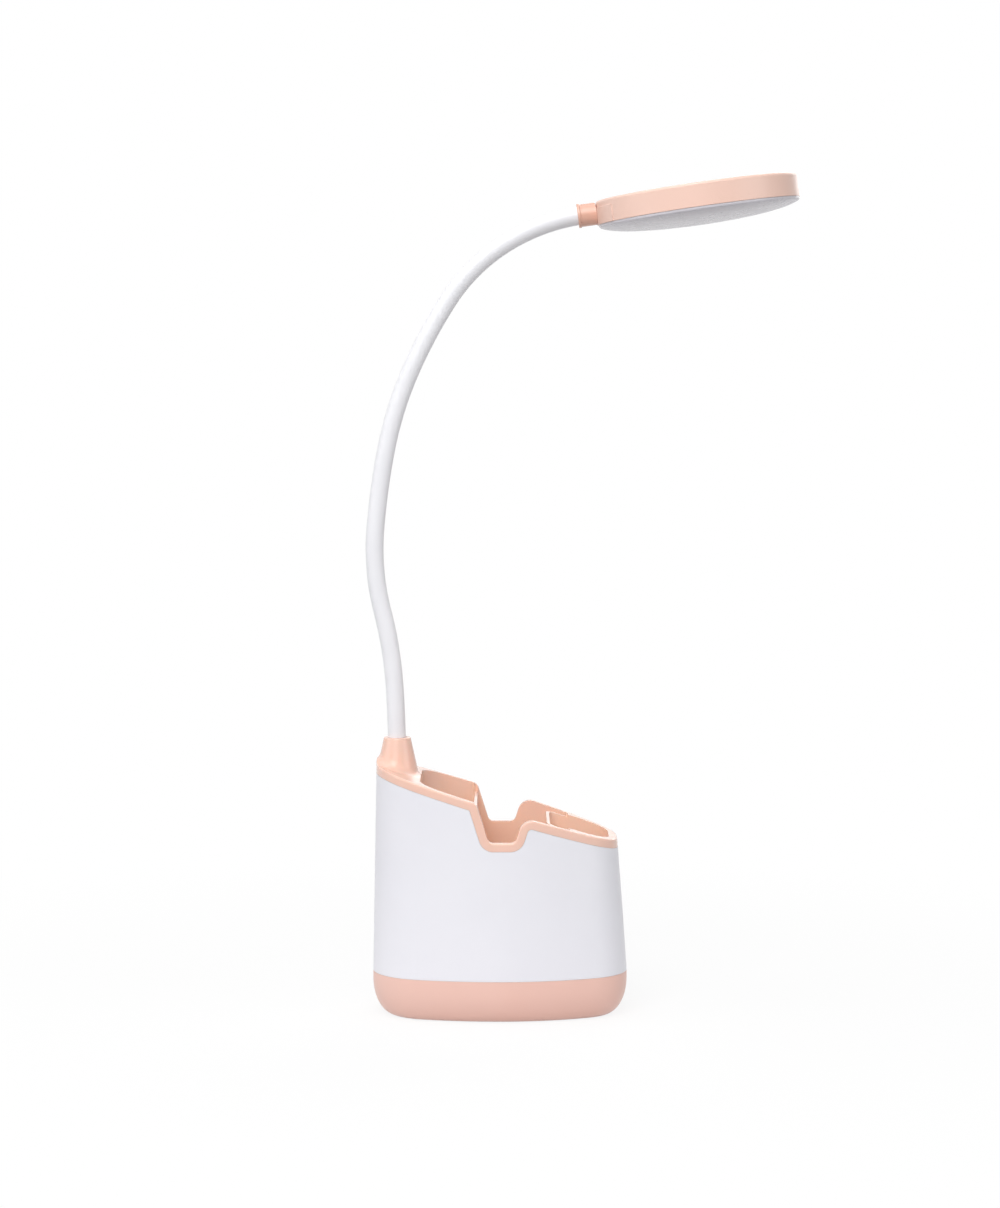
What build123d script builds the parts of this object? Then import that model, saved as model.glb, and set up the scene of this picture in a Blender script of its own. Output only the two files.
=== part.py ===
from build123d import *
import os
from math import asin, atan2, cos, degrees, radians, sin, sqrt, tan

# Desk lamp with a pen holder in its base, in millimetres.
# The origin is the middle of the footprint on the desk. +Z is up, and the lamp head reaches out to +X.
# The lamp is the same on both sides of the plane Y = 0.

# Outline of the base, seen from above, where the coloured cap meets the white shell
SEAM_HEIGHT = 21.0
REACH_BACK = 61.3
REACH_FRONT = 61.3
HALF_WIDTH = 38.5
BACK_ROUND = 29.0
FRONT_ROUND = 26.0
END_FLAT = 5.0

# Draft of the shell's walls above the seam
BACK_DRAFT = 1.05
FRONT_DRAFT = 3.8
SIDE_DRAFT = 0.15
FRONT_CROWN = 0.000125

# Slanted rim with the notch that holds a phone
RIM_MIDDLE_HEIGHT = 102.5
RIM_SLANT = 17.2
RIM_ROUND = 0.8
NOTCH_DEPTH = 15.4
NOTCH_CENTRE = 0.9
NOTCH_WIDTH = 12.4
NOTCH_BACK_LEAN = 17.5
NOTCH_FRONT_LEAN = 18.5
NOTCH_BACK_SHOULDER = 4.6
NOTCH_FRONT_SHOULDER = 6.0
NOTCH_FOOT_ROUND = 3.0
BAND_HEIGHT = 4.0

# Walls and clearances of the mouldings
SHELL_WALL = 2.0
FIT = 0.1
SEAM_GAP = 0.05
LIP_WIDTH = 3.3
FRONT_LIP_WIDTH = 4.3
CUP_WALL = 1.5
CUP_FLOOR_HEIGHT = 34.0
CUP_FLOOR = 1.6
CUP_FLOOR_ROUND = 2.0

# Cups of the pen holder, from back to front
BACK_CUP_START = -38.2
BACK_CUP_ROUND = 14.0
BACK_DIVIDER = -11.8
BACK_DIVIDER_THICKNESS = 1.5
BACK_DIVIDER_DROP = 4.0
DIVIDER_CORNER = 1.5
TUB_START = 24.0
TUB_HALF_WIDTH = 22.8
TUB_BACK_ROUND = 5.0
TUB_FRONT_ROUND = 15.0
TUB_WALL = 1.6
TUB_WALL_DROP = 1.2
TUB_WRAP = 9.3

# Boss that carries the gooseneck
BOSS_BACK = 49.6
BOSS_HEIGHT = 15.4
BOSS_TOP_RADIUS = 6.45
BOSS_HALF_ANGLE = 12.3
BOSS_FLARE_ROUND = 5.0
BOSS_LIP_ROUND = 0.6
BOSS_ROOT_RADIUS = 7.0
BOSS_ROOT_DEPTH = 13.8

# Gooseneck: links of one length, each bent to one even curve
NECK_RADIUS = 4.3
NECK_HOLE_CLEARANCE = 0.3
NECK_CORE_RADIUS = 2.7
NECK_SEAT_DEPTH = 16.25
LINK_LENGTH = 39.0
LINK_TURNS = (-3.3, -10.9, 18.7, 6.5, 12.6, 9.3, 25.4, 23.7)
LINK_CLEARANCE = 0.2
CORE_FIT = 0.1

# Threaded ferrule that holds the gooseneck in the boss
FERRULE_RADIUS = 3.9
FERRULE_LENGTH = 21.5
FERRULE_CORE_DEPTH = 5.0
WIRE_RADIUS = 1.4
WIRE_CLEARANCE = 0.3
NUT_ACROSS_FLATS = 12.0
NUT_HEIGHT = 5.0
WASHER_RADIUS = 6.8
WASHER_THICKNESS = 1.2

# Coloured cap that closes the base
CAP_BELLY = 10.0
CAP_BELLY_HEIGHT = 17.0
CAP_BOTTOM = 0.5
CAP_WALL = 2.2
CAP_FLOOR_TOP = 3.0
CAP_SPIGOT_WALL = 1.3
CAP_SPIGOT_HEIGHT = 1.8
CAP_SPIGOT_DEPTH = 3.0
PAD_INSET = 4.0
PAD_THICKNESS = 1.4
PAD_FIT = 0.3

# Screws that clamp the shell between holder and cap
CAP_SCREW_BACK = 36.5
CAP_SCREW_FRONT = 38.0
CAP_SCREW_Y = 12.0
CAP_POST_RADIUS = 3.5
CAP_BOSS_TOP = 7.0
CAP_POST_FOOT = 7.2
SCREW_RADIUS = 1.5
SCREW_HEAD_RADIUS = 2.75
SCREW_HEAD_HEIGHT = 1.8
SCREW_LENGTH = 12.0
SCREW_HEAD_SEAT = 3.4
SCREW_CLEARANCE = 0.15
SCREW_TIP_ROOM = 1.0

# Weight, battery and electronics inside the base
WEIGHT_HALF_LENGTH = 32.0
WEIGHT_HALF_WIDTH = 26.0
WEIGHT_THICKNESS = 6.0
WEIGHT_ROUND = 14.0
CELL_RADIUS = 9.2
CELL_LENGTH = 65.0
CELL_SIDE = 15.0
CELL_BUTTON_RADIUS = 2.8
CELL_BUTTON_LENGTH = 0.8
CRADLE_LENGTH = 60.0
CRADLE_WIDTH = 16.0
CRADLE_HEIGHT = 5.5
CRADLE_FLOOR = 1.2
BOARD_BACK = 57.2
BOARD_LENGTH = 23.0
BOARD_WIDTH = 16.0
BOARD_THICKNESS = 1.2
BOARD_TOP = 25.2
BOARD_SCREW_INSET = 3.2
BOARD_POST_RADIUS = 2.8
SMALL_SCREW_RADIUS = 1.0
SMALL_SCREW_HEAD_RADIUS = 1.9
SMALL_SCREW_HEAD_HEIGHT = 1.1
SMALL_SCREW_LENGTH = 6.0
SOCKET_LENGTH = 7.4
SOCKET_WIDTH = 8.9
SOCKET_HEIGHT = 3.2
SOCKET_WALL = 0.35
SOCKET_ROUND = 1.1
SOCKET_TONGUE = 0.7
SOCKET_RECESS = 0.6
SOCKET_HOLE_MARGIN = 0.3

# Power key in the front wall and its switch
KEY_HEIGHT = 28.6
KEY_RADIUS = 4.4
KEY_FIT = 0.15
KEY_FLANGE = 1.1
KEY_FLANGE_THICKNESS = 1.0
KEY_RECESS = 0.15
KEY_TRAVEL = 0.7
KEY_SEAT_GAP = 0.3
STEM_RADIUS = 1.7
STEM_LENGTH = 2.2
SWITCH_SIDE = 6.0
SWITCH_DEPTH = 3.5
SWITCH_WELL = 1.6
SWITCH_BOARD_WIDTH = 12.0
SWITCH_BOARD_HEIGHT = 13.0
BRACKET_WIDTH = 13.0
BRACKET_THICKNESS = 2.4
BRACKET_TOP = 31.5

# Lamp head, measured from its lower rim
HEAD_RADIUS = 48.4
HEAD_HEIGHT = 11.2
HEAD_WALL = 2.2
HEAD_TOP = 2.0
HEAD_EDGE_ROUND = 1.3
COLLAR_RADIUS = 5.4
COLLAR_LENGTH = 9.2
COLLAR_FLANGE_RADIUS = 5.8
COLLAR_FLANGE_LENGTH = 1.4
COLLAR_NECK_DEPTH = 2.4
SOCKET_PAD_HALF_ANGLE = 29.7
SOCKET_PAD_HEIGHT = 7.9
SOCKET_PAD_PROUD = 0.35
LENS_DEPTH = 6.4
LENS_WALL = 1.6
LENS_EDGE = 0.5
LENS_INSET = 0.3
LENS_SPIGOT_HEIGHT = 2.4
LENS_SPIGOT_WALL = 1.4
LED_BOARD_GAP = 5.2
LED_BOARD_THICKNESS = 1.2
LED_BOARD_FIT = 0.05
LED_RING_GAPS = (19.5, 5.5)
LED_RING_COUNTS = (10, 18)
LED_LENGTH = 3.5
LED_WIDTH = 2.8
LED_HEIGHT = 0.8
REFLECTOR_OVERLAP = 3.5
REFLECTOR_GAP = 0.5
REFLECTOR_DEPTH = 3.2
REFLECTOR_WALL = 0.6
COLLAR_SPIGOT_RADIUS = 3.0
COLLAR_SPIGOT_INSIDE = 0.7
HEAD_POST_RADIUS = 3.0
HEAD_POST_CIRCLE = 25.0
HEAD_POST_COUNT = 3

# Places that follow from the sizes above
BOSS_X = -BOSS_BACK
BOSS_FOOT = RIM_MIDDLE_HEIGHT + BOSS_BACK * tan(radians(RIM_SLANT))
BOSS_TOP = BOSS_FOOT + BOSS_HEIGHT
BOSS_ROOT = BOSS_FOOT - BOSS_ROOT_DEPTH
NECK_SEAT = BOSS_TOP - NECK_SEAT_DEPTH
SHELL_TOP = BOSS_TOP + SHELL_WALL
HIGH = 2 * BOSS_TOP
FAR = 2 * REACH_BACK
SHELL_BOTTOM = SEAM_HEIGHT + SEAM_GAP
POST_TOP = CUP_FLOOR_HEIGHT - CUP_FLOOR / 2
WEIGHT_BOTTOM = CAP_FLOOR_TOP + FIT
CRADLE_BOTTOM = WEIGHT_BOTTOM + WEIGHT_THICKNESS
CELL_HEIGHT = CRADLE_BOTTOM + CRADLE_FLOOR + CELL_RADIUS + FIT
BOARD_BOTTOM = BOARD_TOP - BOARD_THICKNESS
SOCKET_MIDDLE = BOARD_TOP + SOCKET_HEIGHT / 2
COLLAR_HEIGHT = HEAD_HEIGHT / 2
LENS_SPIGOT_RADIUS = HEAD_RADIUS - HEAD_WALL - FIT
LED_BOARD_RADIUS = HEAD_RADIUS - HEAD_WALL - LED_BOARD_GAP
REFLECTOR_FOOT_RADIUS = LED_BOARD_RADIUS - REFLECTOR_OVERLAP
REFLECTOR_RIM_RADIUS = LENS_SPIGOT_RADIUS - LENS_SPIGOT_WALL - REFLECTOR_GAP
LED_BOARD_TOP = LENS_SPIGOT_HEIGHT + REFLECTOR_DEPTH + SEAM_GAP
LED_BOARD_BOTTOM = LED_BOARD_TOP - LED_BOARD_THICKNESS
HEAD_SCREW_LENGTH = HEAD_HEIGHT - HEAD_TOP - LED_BOARD_BOTTOM - FIT


def front_reach(height):
    """Reach of the front wall at a height: it leans back a little more towards its top."""
    rise = height - SEAM_HEIGHT
    return REACH_FRONT - rise * tan(radians(FRONT_DRAFT)) - FRONT_CROWN * rise**2


def key_back():
    """Back of the power key: its flange just clears the curved inside of the front wall."""
    flange, bend = KEY_RADIUS + KEY_FLANGE, FRONT_ROUND - SHELL_WALL
    hollow = bend - sqrt(bend**2 - flange**2)
    return front_reach(KEY_HEIGHT + flange) - SHELL_WALL - hollow - KEY_SEAT_GAP - KEY_FLANGE_THICKNESS


KEY_BACK = key_back()
BOARD_FACE = KEY_BACK - STEM_LENGTH - KEY_TRAVEL - FIT + SWITCH_WELL - SWITCH_DEPTH
BRACKET_FRONT = BOARD_FACE - BOARD_THICKNESS


def side_arc(reach, half_width, end_round):
    """Radius of the long arc along a side, and the angle at which it meets the corner's arc."""
    run, side = reach - end_round, half_width - END_FLAT
    radius = (run**2 + side**2 - end_round**2) / (2 * (side - end_round))
    return radius, degrees(atan2(radius - side, run))


def plan(back, front, half_width, back_round, front_round, height=0.0):
    """Level oval face: short flat ends, round corners and long side arcs."""
    side_f, turn_f = side_arc(front, half_width, front_round)
    side_b, turn_b = side_arc(back, half_width, back_round)
    edges = [
        Line((front, -END_FLAT), (front, END_FLAT)),
        CenterArc((front - front_round, END_FLAT), front_round, 0, turn_f),
        CenterArc((0, half_width - side_f), side_f, turn_f, 90 - turn_f),
        CenterArc((0, half_width - side_b), side_b, 90, 90 - turn_b),
        CenterArc((back_round - back, END_FLAT), back_round, 180 - turn_b, turn_b),
        Line((-back, END_FLAT), (-back, -END_FLAT)),
        CenterArc((back_round - back, -END_FLAT), back_round, 180, turn_b),
        CenterArc((0, side_b - half_width), side_b, 180 + turn_b, 90 - turn_b),
        CenterArc((0, side_f - half_width), side_f, 270, 90 - turn_f),
        CenterArc((front - front_round, -END_FLAT), front_round, -turn_f, turn_f),
    ]
    return Pos(0, 0, height) * Face(Wire(edges))


def back_reach(height):
    """Reach of the back wall at a height."""
    return REACH_BACK - (height - SEAM_HEIGHT) * tan(radians(BACK_DRAFT))


def side_reach(height):
    """Half width of the base at a height."""
    return HALF_WIDTH - (height - SEAM_HEIGHT) * tan(radians(SIDE_DRAFT))


def wall_plan(height, inset=0.0):
    """Outline of the drafted wall at a height, moved inwards by the inset."""
    return plan(
        back_reach(height) - inset,
        front_reach(height) - inset,
        side_reach(height) - inset,
        BACK_ROUND - inset,
        FRONT_ROUND - inset,
        height,
    )


def wall_block(bottom, inset=0.0):
    """Solid of the drafted wall from a height to above the rim."""
    return loft([wall_plan(height, inset) for height in (bottom, (bottom + SHELL_TOP) / 2, SHELL_TOP)])


def cap_plan(height, inset=0.0):
    """Outline of the cap at a height: it draws in towards its foot along an elliptical belly."""
    drop = max(0.0, CAP_BELLY_HEIGHT - height) / CAP_BELLY_HEIGHT
    draw_in = CAP_BELLY * (1 - sqrt(1 - drop**2)) + inset
    return plan(
        REACH_BACK - draw_in,
        REACH_FRONT - draw_in,
        HALF_WIDTH - draw_in,
        BACK_ROUND - draw_in,
        FRONT_ROUND - draw_in,
        height,
    )


def cap_block(bottom, inset=0.0):
    """Solid of the cap's outline from a height to the seam."""
    steps = 6
    heights = [bottom + (SEAM_HEIGHT - bottom) * (step / steps) ** 1.6 for step in range(steps + 1)]
    return loft([cap_plan(height, inset) for height in heights])


def upright(face, bottom, top):
    """Prism of a level face between two heights."""
    return Pos(0, 0, bottom) * extrude(face, top - bottom)


def rod(radius, bottom, top, x=0.0, y=0.0):
    """Round upright bar between two heights."""
    return Pos(x, y, (bottom + top) / 2) * Cylinder(radius, top - bottom)


def rod_x(radius, start, end, y=0.0, z=0.0):
    """Round bar along X."""
    return Pos((start + end) / 2, y, z) * Rot(0, 90, 0) * Cylinder(radius, end - start)


def block(x, y, z):
    """Box between two values each way."""
    middle = [(low + high) / 2 for low, high in (x, y, z)]
    return Pos(*middle) * Box(x[1] - x[0], y[1] - y[0], z[1] - z[0])


def rim_height(x):
    """Height of the slanted rim, without the notch."""
    return RIM_MIDDLE_HEIGHT - x * tan(radians(RIM_SLANT))


def notch_corners():
    """The notch's four corners, from back to front, where its walls meet its floor and the rim."""
    slant = tan(radians(RIM_SLANT))
    floor = RIM_MIDDLE_HEIGHT - NOTCH_DEPTH
    lean_b = tan(radians(NOTCH_BACK_LEAN))
    lean_f = tan(radians(NOTCH_FRONT_LEAN))
    foot_b = NOTCH_CENTRE - NOTCH_WIDTH / 2
    foot_f = NOTCH_CENTRE + NOTCH_WIDTH / 2
    top_b = (foot_b - lean_b * NOTCH_DEPTH) / (1 - lean_b * slant)
    top_f = (foot_f + lean_f * NOTCH_DEPTH) / (1 + lean_f * slant)
    return [(top_b, rim_height(top_b)), (foot_b, floor), (foot_f, floor), (top_f, rim_height(top_f))]


def above_rim(drop=0.0):
    """Everything above the notched rim, or above a line that runs a little below it."""
    ends = [(-FAR, rim_height(-FAR)), (FAR, rim_height(FAR))]
    rounds = [NOTCH_BACK_SHOULDER, NOTCH_FOOT_ROUND, NOTCH_FOOT_ROUND, NOTCH_FRONT_SHOULDER]
    rim = FilletPolyline(ends[0], *notch_corners(), ends[1], radius=rounds)
    sky = Polyline(ends[1], (FAR, HIGH), (-FAR, HIGH), ends[0])
    face = make_face(rim.edges() + sky.edges())
    if drop:
        face = offset(face, drop)
    return extrude(Plane.XZ * face, FAR, both=True)


def above_slant(drop):
    """Everything above the slanted rim line moved down, without the notch."""
    fall = drop / cos(radians(RIM_SLANT))
    line = Polyline(
        (-FAR, rim_height(-FAR) - fall), (FAR, rim_height(FAR) - fall), (FAR, HIGH), (-FAR, HIGH), close=True
    )
    return extrude(Plane.XZ * make_face(line.edges()), FAR, both=True)


def mouth_plan():
    """Lens between the lips of both sides, whose arcs the walls of the cups follow."""
    back_height = rim_height(-REACH_BACK)
    half_width = side_reach(back_height)
    side_f, _ = side_arc(front_reach(rim_height(REACH_FRONT)), half_width, FRONT_ROUND)
    side_b, _ = side_arc(back_reach(back_height), half_width, BACK_ROUND)
    tip_f = degrees(asin((side_f - half_width) / (side_f - LIP_WIDTH)))
    tip_b = degrees(asin((side_b - half_width) / (side_b - LIP_WIDTH)))
    edges = [
        CenterArc((0, half_width - side_f), side_f - LIP_WIDTH, tip_f, 90 - tip_f),
        CenterArc((0, half_width - side_b), side_b - LIP_WIDTH, 90, 90 - tip_b),
        CenterArc((0, side_b - half_width), side_b - LIP_WIDTH, 180 + tip_b, 90 - tip_b),
        CenterArc((0, side_f - half_width), side_f - LIP_WIDTH, 270, 90 - tip_f),
    ]
    return Face(Wire(edges))


def mouth_part(start, end):
    """The part of the mouth between two places along X."""
    return mouth_plan() & across(start, end, HALF_WIDTH)


def across(start, end, half_width):
    """Level rectangle from one place along X to another, as wide to both sides."""
    return Pos((start + end) / 2, 0) * Rectangle(end - start, 2 * half_width)


def corners_near(face, x):
    """Corners of a level face that lie on one line across the base."""
    return [corner for corner in face.vertices() if abs(corner.X - x) < 0.01]


def back_cup_plan():
    """Cup behind the notch, with a rounded back end."""
    end = BACK_DIVIDER - BACK_DIVIDER_THICKNESS / 2
    face = mouth_part(BACK_CUP_START, end)
    face = fillet(corners_near(face, BACK_CUP_START), BACK_CUP_ROUND)
    return fillet(corners_near(face, end), DIVIDER_CORNER)


def tub_plan():
    """Rounded tub in the front deck, with tighter corners at its back."""
    end = front_reach(rim_height(REACH_FRONT)) - FRONT_LIP_WIDTH
    face = across(TUB_START, end, TUB_HALF_WIDTH)
    face = fillet(corners_near(face, end), TUB_FRONT_ROUND)
    return fillet(corners_near(face, TUB_START), TUB_BACK_ROUND)


def middle_plan():
    """Space for a phone behind the tub: it wraps a little way round the tub's own wall."""
    start, end = BACK_DIVIDER + BACK_DIVIDER_THICKNESS / 2, TUB_START + TUB_WRAP
    face = mouth_part(start, end) - offset(tub_plan(), TUB_WALL)
    return fillet(corners_near(face, start) + corners_near(face, end), DIVIDER_CORNER)


def divider_top():
    """What is taken off the back divider, which stands lower than the rim."""
    half = BACK_DIVIDER_THICKNESS / 2 + SEAM_GAP
    strip = mouth_part(BACK_DIVIDER - half, BACK_DIVIDER + half)
    return upright(strip, CUP_FLOOR_HEIGHT, HIGH) & above_slant(BACK_DIVIDER_DROP)


def tub_wall_top():
    """What is taken off the tub's own wall, which stands a little lower than the deck."""
    strip = offset(tub_plan(), TUB_WALL + SEAM_GAP) & across(0, TUB_START + TUB_WRAP, HALF_WIDTH)
    return upright(strip, CUP_FLOOR_HEIGHT, HIGH) & above_slant(TUB_WALL_DROP)


def cup_hollow(face):
    """Hollow of one cup, with a rounded foot."""
    hollow = upright(face, CUP_FLOOR_HEIGHT, HIGH)
    foot = hollow.faces().sort_by(Axis.Z)[0]
    return fillet(foot.edges(), CUP_FLOOR_ROUND)


def boss():
    """Cone that carries the gooseneck: it flares out into the deck and ends at the wall's outline."""
    height = BOSS_HEIGHT + 2 * BAND_HEIGHT
    foot_radius = BOSS_TOP_RADIUS + height * tan(radians(BOSS_HALF_ANGLE))
    cone = Pos(BOSS_X, 0, BOSS_TOP - height / 2) * Cone(foot_radius, BOSS_TOP_RADIUS, height)
    cone = fillet(cone.edges().sort_by(Axis.Z)[-1], BOSS_LIP_ROUND)
    deck = block((-FAR, FAR), (-FAR, FAR), (0, HIGH)) - above_slant(0)
    body = deck + cone
    body = fillet(body.edges().filter_by(GeomType.ELLIPSE), BOSS_FLARE_ROUND)
    near = rod(foot_radius + BOSS_FLARE_ROUND, 0, HIGH, BOSS_X)
    return body & near & wall_block(SHELL_BOTTOM) & above_slant(RIM_ROUND)


def screw_places():
    """Centres of the four screws that hold the cap."""
    return [(x, y) for x in (-CAP_SCREW_BACK, CAP_SCREW_FRONT) for y in (-CAP_SCREW_Y, CAP_SCREW_Y)]


def outer_shell():
    """White sleeve between cap and holder, with holes for the charging socket and the power key."""
    shell = wall_block(SHELL_BOTTOM) - wall_block(SHELL_BOTTOM, SHELL_WALL)
    shell -= above_rim(BAND_HEIGHT + SEAM_GAP)
    side = SOCKET_WIDTH / 2 + SOCKET_HOLE_MARGIN
    up = SOCKET_HEIGHT / 2 + SOCKET_HOLE_MARGIN
    hole = block((-FAR, -WEIGHT_HALF_LENGTH), (-side, side), (SOCKET_MIDDLE - up, SOCKET_MIDDLE + up))
    hole = fillet(hole.edges().filter_by(Axis.X), up - SOCKET_HOLE_MARGIN / 2)
    return shell - hole - rod_x(KEY_RADIUS + KEY_FIT, WEIGHT_HALF_LENGTH, FAR, z=KEY_HEIGHT)


def rim_blank():
    """Solid block up to the notched rim, with its upper edge rounded."""
    blank = wall_block(SHELL_BOTTOM) - above_rim()
    rim = [edge for edge in blank.edges() if edge.bounding_box().min.Z > CUP_FLOOR_HEIGHT]
    return fillet(rim, RIM_ROUND)


def holder_liner():
    """Coloured moulding: flush band and deck, three cups, neck boss and posts for the cap's screws."""
    back, middle, tub = back_cup_plan(), middle_plan(), tub_plan()
    walls = Part() + [
        upright(offset(face, CUP_WALL), CUP_FLOOR_HEIGHT - CUP_FLOOR, HIGH) for face in (back, middle, tub)
    ]
    walls = (walls & wall_block(SHELL_BOTTOM, SHELL_WALL + FIT)) - above_rim()
    holder = (rim_blank() & above_rim(BAND_HEIGHT)) + walls
    holder = holder + boss() + rod(BOSS_ROOT_RADIUS, BOSS_ROOT, BOSS_FOOT, BOSS_X)
    for x, y in screw_places():
        holder += rod(CAP_POST_RADIUS, CAP_POST_FOOT, POST_TOP, x, y)
        holder -= rod(SCREW_RADIUS, 0, SCREW_HEAD_SEAT + SCREW_LENGTH + SCREW_TIP_ROOM, x, y)
    holder = holder - [cup_hollow(back), upright(middle, CUP_FLOOR_HEIGHT, HIGH), cup_hollow(tub)]
    holder = holder - [divider_top(), tub_wall_top()]
    holder -= rod(NECK_RADIUS + NECK_HOLE_CLEARANCE, NECK_SEAT - FIT, HIGH, BOSS_X)
    return holder - rod(FERRULE_RADIUS + FIT, 0, HIGH, BOSS_X)


def base_cap():
    """Coloured foot: drawn-in wall, spigot that centres the shell, bosses, board posts and key bracket."""
    cap = cap_block(CAP_BOTTOM) - cap_block(CAP_FLOOR_TOP, CAP_WALL)
    spigot_low = SEAM_HEIGHT - CAP_SPIGOT_DEPTH
    spigot_top = SEAM_HEIGHT + CAP_SPIGOT_HEIGHT
    outer = wall_plan(spigot_top, SHELL_WALL + FIT).moved(Pos(0, 0, -spigot_top))
    inner = wall_plan(spigot_top, SHELL_WALL + FIT + CAP_SPIGOT_WALL).moved(Pos(0, 0, -spigot_top))
    cap += upright(outer, spigot_low, spigot_top) - upright(inner, spigot_low, spigot_top)
    for x, y in screw_places():
        cap += rod(CAP_POST_RADIUS, CAP_BOTTOM, CAP_BOSS_TOP, x, y)
        cap -= rod(SCREW_HEAD_RADIUS + SCREW_CLEARANCE, 0, SCREW_HEAD_SEAT, x, y)
        cap -= rod(SCREW_RADIUS + SCREW_CLEARANCE, 0, CAP_POST_FOOT, x, y)
    for x, y in board_screw_places():
        cap += rod(BOARD_POST_RADIUS, CAP_FLOOR_TOP - FIT, BOARD_BOTTOM, x, y)
        cap -= rod(SMALL_SCREW_RADIUS, BOARD_TOP - SMALL_SCREW_LENGTH - SCREW_TIP_ROOM, BOARD_TOP, x, y)
    half, back = BRACKET_WIDTH / 2, BRACKET_FRONT - BRACKET_THICKNESS
    cap += block((back, BRACKET_FRONT), (-half, half), (CAP_FLOOR_TOP - FIT, BRACKET_TOP))
    recess = cap_plan(CAP_BOTTOM, PAD_INSET).moved(Pos(0, 0, -CAP_BOTTOM))
    return cap - upright(recess, 0, PAD_THICKNESS)


def anti_slip_pad():
    """Soft pad let into the cap's foot; the lamp stands on it."""
    outline = cap_plan(CAP_BOTTOM, PAD_INSET + PAD_FIT).moved(Pos(0, 0, -CAP_BOTTOM))
    return upright(outline, 0, PAD_THICKNESS)


def screw(head_radius, head_height, shank_radius, length):
    """Pan-head screw that stands on its tip, with its head's seat at the origin and the shank along +Z."""
    head = rod(head_radius, -head_height, 0)
    head = fillet(head.edges().sort_by(Axis.Z)[0], head_height / 3)
    slot = Box(head_radius, head_radius / 4, head_height) + Box(head_radius / 4, head_radius, head_height)
    return head + rod(shank_radius, -head_height / 2, length) - Pos(0, 0, -head_height) * slot


def cap_screws():
    """Four screws that clamp the shell between cap and holder."""
    one = screw(SCREW_HEAD_RADIUS, SCREW_HEAD_HEIGHT, SCREW_RADIUS, SCREW_LENGTH)
    return Compound([Pos(x, y, SCREW_HEAD_SEAT) * one for x, y in screw_places()])


def counterweight():
    """Steel plate that keeps the lamp upright."""
    plate = Rectangle(2 * WEIGHT_HALF_LENGTH, 2 * WEIGHT_HALF_WIDTH)
    plate = fillet(plate.vertices(), WEIGHT_ROUND)
    return upright(plate, WEIGHT_BOTTOM, WEIGHT_BOTTOM + WEIGHT_THICKNESS)


def battery_cell():
    """Round cell lying along the base, with its contact at the front."""
    half = CELL_LENGTH / 2
    body = rod_x(CELL_RADIUS, -half, half - CELL_BUTTON_LENGTH, CELL_SIDE, CELL_HEIGHT)
    return body + rod_x(CELL_BUTTON_RADIUS, 0, half, CELL_SIDE, CELL_HEIGHT)


def battery_cradle():
    """Moulded cradle under the cell."""
    half, side = CRADLE_LENGTH / 2, CRADLE_WIDTH / 2
    sides, heights = (CELL_SIDE - side, CELL_SIDE + side), (CRADLE_BOTTOM, CRADLE_BOTTOM + CRADLE_HEIGHT)
    body = block((-half, half), sides, heights)
    return body - rod_x(CELL_RADIUS + FIT, -FAR, FAR, CELL_SIDE, CELL_HEIGHT)


def board_screw_places():
    """Centres of the two screws that hold the main board, side by side at its front."""
    x = BOARD_LENGTH - BOARD_BACK - BOARD_SCREW_INSET
    y = BOARD_WIDTH / 2 - BOARD_SCREW_INSET
    return [(x, -y), (x, y)]


def main_board():
    """Circuit board behind the charging socket."""
    half, front = BOARD_WIDTH / 2, BOARD_LENGTH - BOARD_BACK
    board = block((-BOARD_BACK, front), (-half, half), (BOARD_BOTTOM + SEAM_GAP, BOARD_TOP))
    for x, y in board_screw_places():
        board -= rod(SMALL_SCREW_RADIUS + SCREW_CLEARANCE, 0, HIGH, x, y)
    return board


def board_screws():
    """Two small screws through the main board."""
    one = screw(SMALL_SCREW_HEAD_RADIUS, SMALL_SCREW_HEAD_HEIGHT, SMALL_SCREW_RADIUS, SMALL_SCREW_LENGTH)
    return Compound([Pos(x, y, BOARD_TOP) * Rot(180, 0, 0) * one for x, y in board_screw_places()])


def charging_socket():
    """Metal receptacle on the main board, open towards the back, with its contact tongue."""
    back = SOCKET_RECESS - back_reach(SOCKET_MIDDLE)
    front = back + SOCKET_LENGTH
    half, low, top = SOCKET_WIDTH / 2, BOARD_TOP, BOARD_TOP + SOCKET_HEIGHT
    case = block((back, front), (-half, half), (low, top))
    case = fillet(case.edges().filter_by(Axis.X), SOCKET_ROUND)
    inside, wall = half - SOCKET_WALL, SOCKET_WALL
    hollow = block((-FAR, front - wall), (-inside, inside), (low + wall, top - wall))
    case -= fillet(hollow.edges().filter_by(Axis.X), SOCKET_ROUND - wall)
    side, thick = inside - SOCKET_TONGUE, SOCKET_TONGUE / 2
    return case + block(
        (back + SOCKET_RECESS, front), (-side, side), (SOCKET_MIDDLE - thick, SOCKET_MIDDLE + thick)
    )


def neck_ferrule():
    """Threaded sleeve crimped on the gooseneck's lower end."""
    sleeve = rod(FERRULE_RADIUS, NECK_SEAT - FERRULE_LENGTH, NECK_SEAT, BOSS_X)
    sleeve -= rod(WIRE_RADIUS + WIRE_CLEARANCE, 0, HIGH, BOSS_X)
    return sleeve - rod(NECK_CORE_RADIUS + CORE_FIT, NECK_SEAT - FERRULE_CORE_DEPTH, HIGH, BOSS_X)


def neck_washer():
    """Washer under the boss."""
    ring = rod(WASHER_RADIUS, BOSS_ROOT - WASHER_THICKNESS, BOSS_ROOT, BOSS_X)
    return ring - rod(FERRULE_RADIUS + FIT, 0, HIGH, BOSS_X)


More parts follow.
